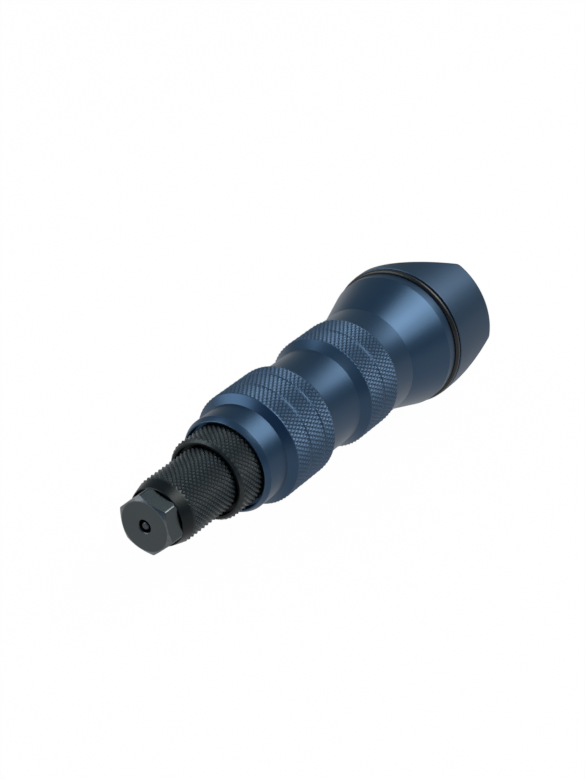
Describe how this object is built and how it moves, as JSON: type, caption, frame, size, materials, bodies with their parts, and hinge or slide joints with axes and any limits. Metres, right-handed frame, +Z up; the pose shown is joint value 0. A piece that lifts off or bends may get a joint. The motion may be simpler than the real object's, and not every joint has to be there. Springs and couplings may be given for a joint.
{
  "type": "rivet drill adapter",
  "caption": "Slim riveting head for a drill: knurled aluminium grip with a cone and a wedge-cut rear cap, black steel nose with a hexagonal nosepiece, and a hex shank at the back.",
  "frame": {"origin": "middle of the nosepiece's front face, where the mandrel hole opens", "axes": "+Y along the tool axis from the nose to the drive shank, +Z up; the cap's flats are turned 29 degrees from the top"},
  "size_m": [0.0464, 0.172, 0.0464],
  "materials": {
    "anodised_blue": "satin blue anodised",
    "black_steel": "black oxide, fine satin",
    "seal_rubber": "matt",
    "drive_steel": "ground",
    "bearing_steel": "polished",
    "cage_brass": "pressed brass",
    "nut_bronze": "turned bronze",
    "tool_steel": "turned and hardened",
    "spring_steel": "drawn wire",
    "pin_steel": "ground"
  },
  "bodies": {
    "housing_body": {"housing": "anodised_blue", "rear_cap": "anodised_blue", "seal_ring": "seal_rubber", "shaft_seal": "seal_rubber", "bearing_outer_race": "bearing_steel", "thrust_front_washer": "bearing_steel"},
    "nose_sleeve_body": {"nose_sleeve": "black_steel"},
    "lock_ring_body": {"lock_ring": "black_steel"},
    "nosepiece_body": {"nosepiece": "black_steel"},
    "spindle_body": {"drive_spindle": "drive_steel", "shaft_clip": "spring_steel", "bearing_inner_race": "bearing_steel", "thrust_rear_washer": "bearing_steel", "ejector_guide": "nut_bronze", "ejector_spring": "spring_steel"},
    "bearing_ball_set": {"bearing_balls": "bearing_steel", "bearing_cage": "cage_brass"},
    "thrust_needle_set": {"thrust_needles": "bearing_steel", "thrust_cage": "cage_brass"},
    "pull_body": {"pull_nut": "nut_bronze", "guide_keys": "tool_steel", "pull_tube": "tool_steel", "jaw_case": "tool_steel", "jaw_spring": "spring_steel"},
    "jaw_1_body": {"jaw_1": "tool_steel"},
    "jaw_2_body": {"jaw_2": "tool_steel"},
    "jaw_3_body": {"jaw_3": "tool_steel"},
    "pusher_body": {"jaw_pusher": "tool_steel"},
    "ejector_body": {"ejector_pin": "pin_steel"}
  },
  "joints": [
    {"name": "drive_turn", "type": "hinge", "parent": "housing_body", "child": "spindle_body", "pos_m": [0, 0.128, 0], "axis": [0, -1, 0], "range_deg": [0, 2160]},
    {"name": "bearing_balls_turn", "type": "hinge", "parent": "housing_body", "child": "bearing_ball_set", "pos_m": [0, 0.128, 0], "axis": [0, -1, 0], "range_deg": [0, 889.92]},
    {"name": "thrust_needles_turn", "type": "hinge", "parent": "housing_body", "child": "thrust_needle_set", "pos_m": [0, 0.118, 0], "axis": [0, -1, 0], "range_deg": [0, 1080]},
    {"name": "pull_slide", "type": "slide", "parent": "housing_body", "child": "pull_body", "axis": [0, 1, 0], "range_m": [0, 0.018]},
    {"name": "jaw_1_close", "type": "slide", "parent": "pull_body", "child": "jaw_1_body", "axis": [0, -0.9781, -0.2079], "range_m": [0, 0.0025]},
    {"name": "jaw_2_close", "type": "slide", "parent": "pull_body", "child": "jaw_2_body", "axis": [-0.1801, -0.9781, 0.104], "range_m": [0, 0.0025]},
    {"name": "jaw_3_close", "type": "slide", "parent": "pull_body", "child": "jaw_3_body", "axis": [0.1801, -0.9781, 0.104], "range_m": [0, 0.0025]},
    {"name": "jaw_pusher_slide", "type": "slide", "parent": "pull_body", "child": "pusher_body", "axis": [0, -1, 0], "range_m": [0, 0.00245], "deforming": ["jaw_spring"]},
    {"name": "ejector_slide", "type": "slide", "parent": "spindle_body", "child": "ejector_body", "axis": [0, 1, 0], "range_m": [0, 0.035], "stiffness_N_per_m": 60, "springref_m": -0.012, "deforming": ["ejector_spring"]},
    {"name": "nose_sleeve_off", "type": "slide", "parent": "housing_body", "child": "nose_sleeve_body", "axis": [0, -1, 0], "range_m": [0, 0.06]},
    {"name": "lock_ring_turn", "type": "hinge", "parent": "nose_sleeve_body", "child": "lock_ring_body", "pos_m": [0, 0.034, 0], "axis": [0, -1, 0], "range_deg": [0, 360]},
    {"name": "nosepiece_off", "type": "slide", "parent": "nose_sleeve_body", "child": "nosepiece_body", "axis": [0, -1, 0], "range_m": [0, 0.02]}
  ],
  "couplings": [
    {"joint": "drive_turn", "follows": "pull_slide", "rad_per_m": 2094.4},
    {"joint": "bearing_balls_turn", "follows": "pull_slide", "rad_per_m": 862.05},
    {"joint": "thrust_needles_turn", "follows": "pull_slide", "rad_per_m": 1047.2},
    {"joint": "jaw_1_close", "follows": "pull_slide", "ratio": 0.13888},
    {"joint": "jaw_2_close", "follows": "pull_slide", "ratio": 0.13888},
    {"joint": "jaw_3_close", "follows": "pull_slide", "ratio": 0.13888},
    {"joint": "jaw_pusher_slide", "follows": "pull_slide", "ratio": 0.13584}
  ]
}
